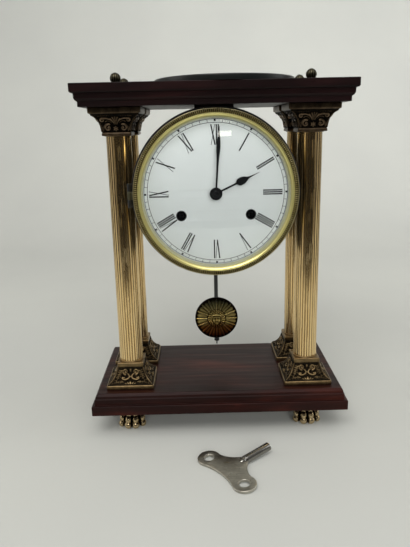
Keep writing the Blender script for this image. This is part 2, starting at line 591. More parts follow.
def casting(rows, relief, nf, nb, y_body, cap=0.85):
    """Square casting with a drawn ornament on each face.
    rows: [half width, height, squareness] before the body, body end points, and rows after it; y_body is the body's curve as [half width, height] points"""
    before, after = rows
    body = [np.array(p, float) for p in y_body]
    seg = np.array([0] + [np.linalg.norm(b - a) for a, b in zip(body[:-1], body[1:])]).cumsum()
    L = seg[-1]
    R = []  # half width, height, exponent, body coordinate, ornament on or off
    for a, z, e in before:
        R.append((a, z, e, -1.0))
    e0, e1 = before[-1][2], after[0][2]
    for k in range(nb + 1):
        s = L * k / nb
        a = np.interp(s, seg, [p[0] for p in body])
        z = np.interp(s, seg, [p[1] for p in body])
        R.append((a, z, e0 + (e1 - e0) * (k / nb), s))
    for a, z, e in after:
        R.append((a, z, e, -1.0))
    u = np.linspace(-1, 1, nf + 1)[:-1]
    u = np.sign(u) * (1 - (1 - np.abs(u)) ** 1.12)
    rows_n = len(R)
    P = np.zeros((rows_n, 4 * nf, 3))
    H = np.zeros((rows_n, 4 * nf))
    for k, (a, z, e, s) in enumerate(R):
        den = (np.abs(u) ** e + 1) ** (1 / e)
        px, py = a * u / den, -a / den
        for f in range(4):
            c, sn = round(math.cos(f * math.pi / 2)), round(math.sin(f * math.pi / 2))
            P[k, f * nf:(f + 1) * nf, 0] = c * px - sn * py
            P[k, f * nf:(f + 1) * nf, 1] = sn * px + c * py
            P[k, f * nf:(f + 1) * nf, 2] = z
        if s >= 0:
            h = relief(u * a, np.full_like(u, s))
            edge = 0.95 * np.exp(-((1 - np.abs(u)) * a / 0.95) ** 2)
            h = np.maximum(h, edge)
            fade = min(1.0, s / 0.5, (L - s) / 0.5)
            H[k] = np.tile(h * max(0.0, fade), 4)
    # normals of the plain surface
    dU = np.roll(P, -1, 1) - np.roll(P, 1, 1)
    dV = np.zeros_like(P)
    dV[1:-1] = P[2:] - P[:-2]
    dV[0], dV[-1] = P[1] - P[0], P[-1] - P[-2]
    N = np.cross(dU, dV)
    N /= np.linalg.norm(N, axis=2, keepdims=True) + 1e-12
    out = np.sign((N[:, :, 0] * P[:, :, 0] + N[:, :, 1] * P[:, :, 1]).mean())
    P = P + N * out * H[:, :, None]
    rel = np.full((rows_n, 4 * nf), cap)
    for k, (_, _, _, s) in enumerate(R):
        if s >= 0:
            rel[k] = np.clip(H[k] / 1.35, 0, 1) * 0.85
    V = P.reshape(-1, 3)
    m = 4 * nf
    F = []
    for k in range(rows_n - 1):
        for i in range(m):
            j = (i + 1) % m
            F.append((k * m + i, k * m + j, (k + 1) * m + j, (k + 1) * m + i))
    F.append(tuple(reversed(range(m))))
    F.append(tuple(range((rows_n - 1) * m, rows_n * m)))
    return V, F, rel.reshape(-1)


def copies(name_fmt, V, F, rel, mat, places, rep_fmt, smooth=50):
    """One mesh used at several places on the case"""
    first = None
    for (x, y), tag in places:
        name = name_fmt.format(tag)
        if first is None:
            o = make(name, V, F, mat, body=None, attrs={"rel": rel}, smooth=smooth, local=True)
            first = o.data
        else:
            o = bpy.data.objects.new(name, first)
            bpy.context.scene.collection.objects.link(o)
        o.location = (x * MM, y * MM + CY, 0)
        place(o, "case", rep_fmt.format(tag))


PLACES = [((sx * 88.3, sy * 30.4), CORNER[(sx, sy)]) for sx in (-1, 1) for sy in (-1, 1)]


def build_castings():
    z = 46.0
    before = [(22.9, z, 30), (23.35, z + 0.15, 30), (23.5, z + 0.45, 30), (23.5, z + 1.9, 30), (23.5, z + 3.5, 30), (23.35, z + 4.0, 30),
              (23.0, z + 4.25, 30), (22.7, z + 4.3, 30)]
    body = bez((22.5, z + 4.5), (17.2, z + 7.0), (13.8, z + 12.8), (12.6, z + 19.6), 24)
    after = [(12.6, z + 19.8, 30), (12.8, z + 20.0, 30), (12.95, z + 20.4, 30), (13.0, z + 21.8, 30), (13.0, z + 23.6, 30), (12.85, z + 24.0, 30), (12.6, z + 24.15, 30),
             (12.4, z + 24.2, 6), (12.5, z + 24.25, 2), (12.6, z + 24.6, 2), (12.5, z + 25.1, 2), (12.2, z + 25.45, 2), (11.9, z + 25.5, 2), (4, z + 25.5, 2)]
    V, F, rel = casting((before, after), base_relief, 96, 84, body, cap=0.68)
    copies("base_casting_{}", V, F, rel, ANTIQUE, PLACES, "column_base_{}")
    t = 315.5
    after = [(22.2, t - 5.6, 30), (23.0, t - 5.3, 30), (23.3, t - 4.8, 30), (23.4, t - 4.0, 30), (23.45, t - 2.5, 30), (23.5, t - 1.0, 30), (23.4, t - 0.3, 30), (23.0, t, 30)]
    body = bez((12.9, t - 21.7), (13.0, t - 15.0), (15.5, t - 8.6), (21.6, t - 6.1), 24)
    before = [(4, t - 25.5, 2), (11.9, t - 25.5, 2), (12.6, t - 25.3, 2), (12.7, t - 25.0, 3), (12.9, t - 24.8, 12), (13.2, t - 24.6, 30), (13.4, t - 24.2, 30), (13.4, t - 22.7, 30), (13.2, t - 22.3, 30), (12.9, t - 22.1, 30), (12.85, t - 21.9, 30)]
    V, F, rel = casting((before, after), capital_relief, 96, 84, body, cap=0.56)
    copies("capital_casting_{}", V, F, rel, ANTIQUE_DARK, PLACES, "capital_{}")


def build_shafts():
    """Fluted tubes: narrow rounded flutes between wider lands"""
    n, per = 28, 12
    z0, z1 = 71.5, 290.0
    a = np.arange(n * per) * 2 * math.pi / (n * per)
    ph = (a * n / (2 * math.pi)) % 1.0
    d = np.minimum(ph, 1 - ph) * (2 * math.pi * 11.6 / n)  # distance along the surface from a flute's middle
    q = np.clip(1 - (d / 0.58) ** 2, 0, 1)
    depth = 0.55 * np.sqrt(q)
    r = 11.5 - depth
    rel = np.clip(1 - depth / 0.55, 0, 1)
    zs = [z0, z0 + 0.3] + list(np.linspace(z0 + 3, z1 - 3, 72)) + [z1 - 0.3, z1]
    rng = np.random.default_rng(11)
    land = np.floor(a * n / (2 * math.pi)).astype(int) % n
    w1, w2 = 2 * math.pi / rng.uniform(38, 75, n), 2 * math.pi / rng.uniform(14, 26, n)
    p1, p2 = rng.uniform(0, 6.28, n), rng.uniform(0, 6.28, n)
    g1, g2 = rng.uniform(0.015, 0.045, n), rng.uniform(0.002, 0.008, n)
    V, A = [], []
    for z in zs:
        wave = g1[land] * np.sin(w1[land] * z + p1[land]) + g2[land] * np.sin(w2[land] * z + p2[land])
        rz = r + wave * (1 - np.sqrt(q)) * min(1, (z - z0) / 3, (z1 - z) / 3)
        for i in range(len(a)):
            V.append((rz[i] * math.sin(a[i]), rz[i] * math.cos(a[i]), z))
            A.append(rel[i])
    m, F = len(a), []
    for k in range(len(zs) - 1):
        for i in range(m):
            j = (i + 1) % m
            F.append((k * m + i, k * m + j, (k + 1) * m + j, (k + 1) * m + i))
    # bore wall
    base = len(V)
    for z in (z0, z1):
        for i in range(m):
            V.append((9.6 * math.sin(a[i]), 9.6 * math.cos(a[i]), z))
            A.append(0.2)
    top = (len(zs) - 1) * m
    for i in range(m):
        j = (i + 1) % m
        F.append((base + i, base + m + i, base + m + j, base + j))
        F.append((i, base + i, base + j, j))
        F.append((top + i, top + j, base + m + j, base + m + i))
    copies("fluted_shaft_{}", np.array(V), F, np.array(A), SHAFT, PLACES, "column_shaft_{}", smooth=60)


def build_boards():
    p = [(-5.2, 25.0), (0, 25.0), (0, 34.6), (-2.9, 34.9), (-3.0, 40.6), (-4.0, 41.2), (-4.1, 43.4), (-5.8, 46.0), (-9, 46.0)]
    prof = fillet(p, [0, 0.5, 0.8, 0.3, 0.6, 0.3, 0.5, 0.8, 0], closed=False, k=5)
    V, F = sweep_rect(prof, 125.5, 66.7)
    make("base_board_moulded", V, F, MAHOGANY, rep="base_board", smooth=32, weighted=True)
    p = [(-9, 315.5), (-5.5, 315.5), (-5.5, 319.8), (-3.9, 321.0), (-3.0, 322.6), (-2.8, 326.6), (-0.9, 327.2), (0, 328.2), (0, 335.0), (-4, 335.0)]
    prof = fillet(p, [0, 0.5, 0.6, 0.8, 0.9, 0.4, 0.3, 0.5, 0.7, 0], closed=False, k=5)
    V, F = sweep_rect(prof, 124.0, 65.0)
    make("top_slab_moulded", V, F, MAHOGANY_DARK, rep="top_slab", smooth=32, weighted=True)


def foot_mesh(sx, sy):
    """Paw foot: every height is the outline of overlapping toes, knuckles and heel"""
    na, nz = 360, 96
    a = np.arange(na) * 2 * math.pi / na
    ca, sa = np.sin(a), np.cos(a)  # x, and forward
    parts = []
    for i, (x, f, s) in enumerate(((-8.9, 7.9, 0.95), (-3.2, 11.9, 1.0), (3.2, 11.9, 1.0), (8.9, 7.9, 0.95))):
        k = f / 11.9
        parts += [((x, f, 4.0 * s), (3.55 * s, 3.75 * s, 4.0 * s)),
                  ((x * 0.98, f - 0.9, 9.3), (3.0 * s, 3.7, 4.4)),
                  ((x * 0.88, f - 3.2 * k - 0.5, 14.2), (2.8, 4.4, 5.4)),
                  ((x * 0.8, f - 5.0 * k, 20), (2.9, 4.0, 5.0))]
    parts += [((0, -1.5, 4.6), (9.6, 9.4, 5.2)), ((0, -2.5, 12.0), (8.6, 8.2, 9.0))]
    V, A = [], []
    for k in range(nz + 1):
        z = 25.0 * k / nz
        base = np.interp(z, [0, 1.2, 3, 8, 13, 17, 20.5, 22.6, 25], [6.5, 8.2, 8.8, 8.6, 8.3, 8.8, 10.6, 12.6, 12.9])
        r = np.full(na, base)
        for (cx, cf, cz), (rx, rf, rz) in parts:
            q = 1 - ((z - cz) / rz) ** 2
            if q <= 0:
                continue
            ex, ef = rx * math.sqrt(q), rf * math.sqrt(q)
            A2 = (ca / ex) ** 2 + (sa / ef) ** 2
            B2 = -2 * (ca * cx / ex ** 2 + sa * cf / ef ** 2)
            C2 = (cx / ex) ** 2 + (cf / ef) ** 2 - 1
            disc = B2 * B2 - 4 * A2 * C2
            t = np.where(disc > 0, (-B2 + np.sqrt(np.maximum(disc, 0))) / (2 * A2), 0)
            r = np.maximum(r, t)
        for _ in range(2):
            r = 0.25 * np.roll(r, 1) + 0.5 * r + 0.25 * np.roll(r, -1)
        dip = r - 0.5 * (np.roll(r, 7) + np.roll(r, -7))
        grow = np.interp(z, [0, 12, 20, 25], [1.16, 1.12, 1.0, 1.0])
        out = np.interp(z, [0, 8, 20, 25], [1.0, 1.0, 0, 0])
        V += [(grow * r[i] * ca[i] + sx * (0.8 + 0.5 * out), sy * (grow * r[i] * sa[i] + 2.0 + out), z) for i in range(na)]
        A += list(np.clip(0.52 + dip * 0.55 + 0.12 * (r - base) / 6, 0.02, 0.95) * (0.35 + 0.65 * min(1, (25 - z) / 9)))
    F = []
    for k in range(nz):
        for i in range(na):
            j = (i + 1) % na
            F.append((k * na + i, k * na + j, (k + 1) * na + j, (k + 1) * na + i))
    F.append(tuple(reversed(range(na))))
    F.append(tuple(range(nz * na, (nz + 1) * na)))
    return np.array(V), F, np.array(A)


def build_feet():
    for (x, y), tag in PLACES:
        sx, sy = (1 if x > 0 else -1), (1 if y > 0 else -1)
        V, F, A = foot_mesh(sx, sy)
        V[:, 0] += x
        V[:, 1] += y
        make(f"paw_foot_{tag}", V, F, ANTIQUE_FEET, rep=f"foot_{tag}", attrs={"rel": A}, smooth=60)


def build_finials():
    parts = []
    for x, y in COL:
        prof = fillet([(0, 335.0), (6.4, 335.0), (6.4, 336.1), (3.4, 336.25), (3.0, 337.0)], [0, 0, 0.45, 0.5, 0], closed=False, k=4)
        ball = [(4.9 * math.sin(t), 340.6 - 4.9 * math.cos(t)) for t in np.linspace(0.72, math.pi - 0.28, 26)]
        tip = [(1.25, 345.35), (1.1, 345.5), (0.6, 345.5), (0, 345.5)]
        full = prof + ball + tip

        def ribs(a, r, h):
            w = np.clip((4.9 ** 2 - (h - 340.6) ** 2) / 24, 0, 1) if h > 337.1 else 0
            return r * (1 - 0.075 * w * (0.5 + 0.5 * np.cos(a * 14)) ** 2.2) if h > 337.1 else np.full_like(a, r)
        V, F = lathe(full, 140, "z", (x, y), closed=False, rfun=ribs)
        rr = np.hypot(V[:, 0] - x, V[:, 1] - y)
        sph = np.sqrt(np.clip(4.9 ** 2 - (V[:, 2] - 340.6) ** 2, 0.01, None))
        rel = np.where((V[:, 2] > 337.1), np.clip(0.1 + (rr / sph - 0.93) / 0.07 * 0.6, 0, 0.75), 0.35)
        parts.append((V, F, rel))
    V, F, A = merge(parts)
    make("finial_nuts_ribbed", V, F, FINIAL, rep="finial_nuts", attrs={"rel": A}, smooth=60)


# ---------------------------------------------------------------- drum, dial, bezel
def build_drum():
    prof = fillet([(70.2, -45.4), (71.4, -45.4), (71.4, 16), (67, 16), (67, 14.8), (70.2, 14.8)], [0.2, 0.3, 1.0, 0.3, 0.3, 0.4], True, 4)
    V, F = lathe(prof, 300, "y", (0, DZ))
    o = make("drum_shell_rolled", V, F, JAPAN, body=None, smooth=40)
    bm = bmesh.new()
    bmesh.ops.create_cube(bm, size=1)
    for v in bm.verts:
        v.co = Vector((v.co.x * 26, 12 + v.co.y * 20, DZ - 65 + v.co.z * 30)) * MM
        v.co.y += CY
    me = bpy.data.meshes.new("slot_cut")
    bm.to_mesh(me)
    bm.free()
    cut = bpy.data.objects.new("slot_cut", me)
    bpy.context.scene.collection.objects.link(cut)
    mod = o.modifiers.new("cut", "BOOLEAN")
    mod.object, mod.operation, mod.solver = cut, "DIFFERENCE", "EXACT"
    bpy.context.view_layer.update()
    new = bpy.data.meshes.new_from_object(o.evaluated_get(bpy.context.evaluated_depsgraph_get()))
    o.modifiers.clear()
    o.data = new
    bpy.data.objects.remove(cut)
    new.polygons.foreach_set("use_smooth", [True] * len(new.polygons))
    new.set_sharp_from_angle(angle=math.radians(40))
    place(o, "case", "drum_shell")
    # flange with its hinge knuckles
    V, F = lathe(fillet([(67.8, -47.4), (77.5, -47.4), (77.5, -45.4), (67.8, -45.4)], [0.2, 0.5, 0.5, 0.2], True, 4), 300, "y", (0, DZ))
    parts = [(V, F)]
    for s in (-1, 1):
        k = fillet([(0.83, -3.4), (1.8, -3.4), (1.8, 3.4), (0.83, 3.4)], [0, 0.25, 0.25, 0], True, 3)
        V, F = lathe([(r, DZ + s * 7.4 + h) for r, h in k], 40, "z", (-79, -50.6))
        parts.append((V, F))
        parts.append(tube_box(-80.4, -76.2, -50.4 + 1.6, -45.5, DZ + s * 7.4 - 3.3, DZ + s * 7.4 + 3.3, 0.2))
    V, F, _ = merge(parts)
    make("drum_flange_ring", V, F, JAPAN, rep="drum_flange", smooth=40)
    # saddle block under the slab, hollowed to the drum
    n = 40
    arc = [(18 - 36 * i / n, math.sqrt(71.5 ** 2 - (18 - 36 * i / n) ** 2) + DZ) for i in range(n + 1)]
    out = [(-18, 315.5), (18, 315.5)] + arc
    V = [(x, y, z) for y in (-32, 10) for x, z in out]
    m = len(out)
    F = [tuple(range(m)), tuple(reversed(range(m, 2 * m)))] + [(i, m + i, m + (i + 1) % m, (i + 1) % m) for i in range(m)]
    o = make("drum_saddle_block", np.array(V), F, MAHOGANY_DARK, rep="drum_saddle", smooth=30)
    b = o.modifiers.new("edges", "BEVEL")
    b.width, b.segments, b.limit_method, b.angle_limit = 0.0004, 3, "ANGLE", math.radians(50)


def build_dial():
    outline = [circle(0, 0, 70.0, 360), circle(0, 0, 3.2, 48)] + [circle(s * 32.4, -20.4, 4.65, 64) for s in (-1, 1)]
    V, F = plate(outline, 0.5, 0.12, 2, "dial")
    make("dial_disc", to_face(V, -44.9), F, ENAMEL, rep="dial_plate", smooth=30)
    # raised print
    parts = []
    top, bottom = -45.46, -45.39

    def prism(P):
        n = len(P)
        V = [(x, y, DZ + z) for y in (top, bottom) for x, z in P]
        return np.array(V), [tuple(range(n)), tuple(reversed(range(n, 2 * n)))] + [(i, n + i, n + (i + 1) % n, (i + 1) % n) for i in range(n)]

    def ring(r0, r1, n=360):
        V, F = lathe([(r0, top), (r1, top), (r1, bottom), (r0, bottom)], n, "y", (0, DZ))
        return V, F

    parts += [ring(62.82, 63.26), ring(65.92, 66.34)]
    for m in range(60):
        w, r0, r1 = (0.86, 64.1, 66.1) if m % 5 == 0 else (0.19, 63.1, 66.1)
        parts.append(prism(turn2([(-w, r0), (w, r0), (w, r1), (-w, r1)], m * 6)))
    r0, r1 = 43.6, 61.4

    def bar(x0, x1, wa, serif=True):
        """Stroke from the numeral's foot at x0 to its head at x1, with hairline serifs"""
        s = [[(x0 - wa / 2, r0), (x0 + wa / 2, r0), (x1 + wa / 2, r1), (x1 - wa / 2, r1)]]
        if serif:
            for x, r, g in ((x0, r0, 1), (x1, r1, -1)):
                s.append([(x - wa / 2 - 0.32, r), (x + wa / 2 + 0.32, r), (x + wa / 2 + 0.32, r + g * 0.16), (x - wa / 2 - 0.32, r + g * 0.16)])
        return s

    thick, thin = 1.2, 0.5
    glyph = {"I": (1.8, lambda x: bar(x, x, thick)),
             "V": (4.3, lambda x: bar(x + 0.25, x - 1.75, thick, False) + bar(x + 0.25, x + 1.75, thin, False)
                   + [[(x - 2.6, r1), (x - 0.9, r1), (x - 0.9, r1 - 0.16), (x - 2.6, r1 - 0.16)], [(x + 1.1, r1), (x + 2.4, r1), (x + 2.4, r1 - 0.16), (x + 1.1, r1 - 0.16)]]),
             "X": (4.5, lambda x: bar(x + 1.75, x - 1.75, thick, False) + bar(x - 1.75, x + 1.75, thin, False)
                   + [[(x + a, r), (x + b, r), (x + b, r + g * 0.16), (x + a, r + g * 0.16)] for r, g in ((r0, 1), (r1, -1)) for a, b in ((-2.6, -0.9), (0.9, 2.6))])}
    for h, word in enumerate(["XII", "I", "II", "III", "IIII", "V", "VI", "VII", "VIII", "IX", "X", "XI"]):
        total = sum(glyph[c][0] for c in word)
        x = -total / 2
        for c in word:
            w, f = glyph[c]
            for s in f(x + w / 2):
                parts.append(prism(turn2(s, h * 30)))
            x += w
    V, F, _ = merge(parts)
    make("dial_print_track_and_numerals", V, F, PRINT, smooth=30)
    # thin dark eyelets round the winding holes
    parts = []
    for s in (-1, 1):
        V, F = lathe(fillet([(3.9, -45.62), (4.95, -45.62), (4.95, -45.42), (4.55, -45.3), (4.55, -44.2), (3.9, -44.2)], [0.1, 0.12, 0, 0, 0, 0], True, 3), 64, "y", (s * 32.4, DZ - 20.4))
        parts.append((V, F))
    V, F, _ = merge(parts)
    make("winding_hole_eyelets", V, F, HANDS, smooth=40)


def build_bezel():
    ring = fillet([(68.1, -52.7), (68.1, -53.9), (69.1, -55.1), (70.0, -55.7), (70.3, -55.6), (70.4, -55.2), (70.55, -55.2), (70.65, -55.9), (70.9, -56.15), (71.15, -55.9), (71.25, -55.3),
                   (71.25, -48.0), (69.2, -47.7), (69.2, -52.6)], [0.15, 0.6, 1.3, 0.6, 0.1, 0.05, 0.05, 0.15, 0.25, 0.15, 0.1, 0.2, 0.2, 0.1], True, 5)
    V, F = lathe(ring, 360, "y", (0, DZ))
    make("bezel_polished", V, F, BEZEL, body="bezel_door", rep="bezel_ring", smooth=40)
    # sloping ring between the pane and the dial
    V, F = lathe(fillet([(66.75, -46.3), (67.2, -46.3), (68.3, -50.4), (69.15, -50.4), (69.15, -51.2), (67.75, -51.2)], [0.15, 0.15, 0.3, 0, 0, 0.3], True, 4), 360, "y", (0, DZ))
    make("bezel_inner_slope", V, F, SLOPE, body="bezel_door", smooth=40)
    k = fillet([(0.86, -3.6), (1.8, -3.6), (1.8, 3.6), (0.86, 3.6)], [0, 0.3, 0.3, 0], True, 3)
    V, F = lathe([(r, DZ + h) for r, h in k], 40, "z", (-79, -50.6))
    V, F, _ = merge([(V, F), tube_box(-77.6, -74.8, -51.6, -49.6, DZ - 3.5, DZ + 3.5, 0.25)])
    make("bezel_hinge_knuckle", V, F, CAP_METAL, body="bezel_door", smooth=40)
    # toothed ring round the outside, with a plain edge
    n, beads = 2080, 260
    prof = fillet([(71.25, -48.0), (71.25, -55.3), (71.5, -56.0), (72.6, -56.45), (73.7, -56.35), (74.5, -55.75), (74.7, -55.4), (74.78, -55.45), (75.15, -55.35), (75.45, -54.9), (75.5, -54.2), (75.5, -48.4), (75.2, -47.75), (71.4, -47.75)],
                  [0, 0, 0.3, 1.0, 0.8, 0.4, 0, 0, 0.2, 0.3, 0.2, 0.2, 0.2, 0], True, 4)
    V, F = lathe(prof, n, "y", (0, DZ))
    rr = np.hypot(V[:, 0], V[:, 2] - DZ)
    aa = np.arctan2(V[:, 0], V[:, 2] - DZ)
    w = 0.5 + 0.5 * np.cos(aa * beads)
    on = np.clip((74.72 - rr) / 0.12, 0, 1) * (V[:, 1] < -54.5) * np.clip((rr - 71.3) / 0.25, 0, 1)
    cut = on * (1 - w) ** 1.2
    V[:, 1] += 0.75 * cut
    k = 1 - 0.25 * cut * np.clip((rr - 74.2) / 0.8, 0, 1) / rr
    V[:, 0] *= k
    V[:, 2] = DZ + (V[:, 2] - DZ) * k
    rel = np.where(on > 0, 0.66 - 0.66 * (1 - w) ** 0.8, 0.95)
    make("bezel_toothed_ring", V, F, ROPE_WORN, body="bezel_door", attrs={"rel": rel}, smooth=60)
    # domed pane
    def arc(r0, y0, sag, n, out):
        R = (r0 * r0 + sag * sag) / (2 * sag)
        a = math.asin(r0 / R)
        ts = [a * i / n for i in range(n + 1)]
        if out:
            ts.reverse()
        return [(R * math.sin(t), y0 - sag + R - R * math.cos(t)) for t in ts]
    prof = [(68.3, -52.5)] + arc(66, -52.5, 8, 40, True)
    inner = arc(65.4, -51.4, 8, 40, False) + [(68.3, -51.4)]
    V, F = lathe(prof + inner, 256, "y", (0, DZ))
    make("domed_glass", V, F, PANE, body="bezel_door", rep="glass", smooth=40)


def build_hands():
    half = spline([(0.8, 3), (0.82, 14), (0.9, 24), (1.2, 32), (1.7, 38.5), (1.82, 43), (1.35, 48.5), (0.75, 53), (0.38, 57), (0.18, 60.3)], 5)
    out = [(-x, y) for x, y in half] + [(x, y) for x, y in reversed(half)]
    V, F = plate([turn2(out, 3.8)], 0.4, 0.16, 2, "minute")
    hub, hf = lathe(fillet([(1.95, -50.75), (5.8, -50.75), (5.8, -51.2), (4.9, -51.62), (2.4, -51.8), (1.95, -51.8)], [0, 0.2, 0.3, 1.0, 0, 0], True, 4), 96, "y", (0, DZ))
    V, F, _ = merge([(to_face(V, -51.2), F), (hub, hf)])
    make("minute_hand_bevelled", V, F, HANDS, body="minute_arbor", rep="minute_hand", smooth=35)
    half = spline([(0.8, 3), (0.8, 12), (0.82, 20.2), (1.7, 21.4), (3.1, 22.9), (3.5, 25.2), (3.3, 27.8), (2.4, 30.2), (1.35, 32.0), (0.75, 34.2), (0.42, 38.2), (0.14, 43.9)], 5)
    out = [(-x, y) for x, y in half] + [(x, y) for x, y in reversed(half)]
    V, F = plate([turn2(out, 65)], 0.4, 0.14, 2, "hour")
    hub, hf = lathe(fillet([(2.85, -48.62), (5.0, -48.62), (5.0, -49.6), (2.85, -49.6)], [0, 0.2, 0.25, 0], True, 4), 96, "y", (0, DZ))
    V, F, _ = merge([(to_face(V, -49.1), F), (hub, hf)])
    make("hour_hand_bevelled", V, F, HANDS, body="hour_pipe", rep="hour_hand", smooth=35)
    prof = fillet([(0, -53.4), (1.9, -53.4), (2.9, -52.9), (3.2, -52.4), (3.2, -51.9), (0, -51.9)], [0, 0.6, 0.4, 0.3, 0.15, 0], False, 4)

    def knurl(a, r, h):
        return r * (1 - 0.03 * (0.5 + 0.5 * np.cos(a * 22))) if r > 2.6 else np.full_like(a, r)
    V, F = lathe(prof, 176, "y", (0, DZ), closed=False, rfun=knurl)
    make("hand_nut_knurled", V, F, HANDS, body="minute_arbor", rep="hand_nut", smooth=40)


# ---------------------------------------------------------------- pendulum
def build_pendulum():
    parts = [tube_box(-2, 2, 6.3, 7.7, 82.0, DZ + 26, 0.22)]

    def thread(a, r, h):
        return np.full_like(a, r) - 0.07 * (0.5 + 0.5 * np.cos(a + h * 2 * math.pi / 0.45)) if 68.9 < h < 82.5 and r > 0.4 else np.full_like(a, r)
    prof = [(0, 68.6), (0.45, 68.6), (0.58, 68.8)] + [(0.65, z) for z in np.arange(68.95, 82.5, 0.12)] + [(0, 82.6)]
    V, F = lathe(prof, 24, "z", (0, 7), closed=False, rfun=thread)
    parts.append((V, F))
    V, F, _ = merge(parts)
    make("pendulum_rod_strip", V, F, HANDS, body="pendulum", rep="pendulum_rod", smooth=40)

    # rating nut with a knurled edge
    c = 98.3 - 22.8 - 3

    def knurl(a, r, h):
        return r * (1 - 0.05 * (0.5 + 0.5 * np.cos(a * 20))) if r > 2.3 else np.full_like(a, r)
    prof = fillet([(0.72, c), (2.7, c), (2.7, c + 2.6), (0.72, c + 2.6)], [0, 0.4, 0.4, 0], True, 4)
    V, F = lathe(prof, 160, "z", (0, 7), rfun=knurl)
    make("rating_nut_knurled", V, F, HANDS, body="rating_nut", rep="rating_nut", smooth=40)


def bob_height(X, Z, R, A):
    """Height of the bob's front over its rear edge: sixteen rays round a calm mask of a plain, general design"""
    n = 16
    t = (A * n / (2 * math.pi)) % 1.0
    d = np.minimum(t, 1 - t) * 2 * math.pi / n * R  # distance from the nearest ray's middle
    half = np.interp(R, [9, 12, 16, 20, 21.6], [0.9, 0.95, 1.1, 1.0, 0.35])
    edge = np.interp(R, [0, 9, 20.8, 21.9, 22.8], [3.5, 3.5, 2.9, 2.5, 2.0])
    ray = 1.35 * np.sqrt(np.clip(1 - (d / half) ** 2, 0, 1)) * np.clip((21.9 - R) / 1.2, 0, 1) ** 0.5 * np.clip((R - 9.2) / 1.2, 0, 1)
    gap = math.pi / n * R - d  # from the middle between two rays
    wide = np.maximum(math.pi / n * R - half - 0.25, 0.2)
    petal = 0.85 * np.sqrt(np.clip(1 - (gap / wide) ** 2, 0, 1)) * np.clip((21.2 - R - gap * 0.35) / 1.6, 0, 1) ** 0.5 * np.clip((R - 9.6) / 1.0, 0, 1)
    H = edge + np.maximum(ray, petal)
    # head
    oval = np.clip(1 - (X / 5.4) ** 2 - ((Z + 1.0) / 7.2) ** 2, 0, 1)
    head = np.where(oval > 0, 3.4 + 1.9 * np.sqrt(oval), 0)
    ax = np.abs(X)
    face = 0.30 * np.exp(-((Z - 1.35 + 0.06 * ax ** 2) / 0.5) ** 2) * np.exp(-((ax - 1.9) / 1.5) ** 2)
    face -= 0.62 * np.exp(-((Z - 0.35) / 0.75) ** 2 - ((ax - 2.0) / 1.15) ** 2)
    face += 0.36 * np.sqrt(np.clip(1 - ((Z - 0.2) / 0.5) ** 2 - ((ax - 2.0) / 1.0) ** 2, 0, 1))
    nose_w = np.interp(-Z, [-1.4, 0, 1.6, 2.3, 2.7], [0.45, 0.5, 0.85, 1.05, 0.5])
    nose_h = np.interp(-Z, [-1.6, -0.6, 1.2, 2.1, 2.6], [0.0, 0.25, 0.75, 0.95, 0.0])
    face += nose_h * np.exp(-(X / nose_w) ** 2)
    face += 0.30 * np.exp(-((Z + 3.75) / 0.32) ** 2 - (X / 1.35) ** 4) + 0.34 * np.exp(-((Z + 4.55) / 0.38) ** 2 - (X / 1.05) ** 4)
    face -= 0.28 * np.exp(-((Z + 4.12) / 0.17) ** 2 - (X / 1.45) ** 4)
    face += 0.35 * np.exp(-((Z + 6.3) / 0.9) ** 2 - (X / 1.3) ** 2) + 0.25 * np.exp(-((Z + 2.4) / 1.3) ** 2 - ((ax - 2.9) / 1.1) ** 2)
    head = head + np.where(oval > 0, face * np.clip(oval * 6, 0, 1), 0)
    # wavy hair all round, with a plain band above the brow
    hr = np.hypot(X / 1.0, (Z + 0.2) / 1.08)
    locks = 0.5 + 0.5 * np.cos(A * 22 + 1.6 * np.sin(hr * 1.5))
    hair = np.where(hr < 9.6, 3.9 + 0.75 * locks + 0.7 * np.clip((9.6 - hr) / 3.6, 0, 1), 0) * np.where(hr < 9.6, 1, 0)
    hair = np.where(hr < 9.6, hair - 1.1 * np.clip((hr - 8.6) / 1.0, 0, 1) ** 2, 0)
    inside = (X / 4.9) ** 2 + ((Z + 1.5) / 6.2) ** 2 < 1
    band = np.where((np.abs(Z - 4.0 + 0.035 * X ** 2) < 0.75) & (ax < 6.2), 5.55 - 0.02 * X ** 2 - 0.9 * ((Z - 4.0 + 0.035 * X ** 2) / 0.75) ** 4 * 0.3, 0)
    H = np.maximum(H, hair)
    H = np.where(inside, np.maximum(head, 3.2), np.maximum(H, np.where(Z < 3.2, head * 0, 0)))
    H = np.maximum(H, band)
    return np.minimum(H, 6.15)


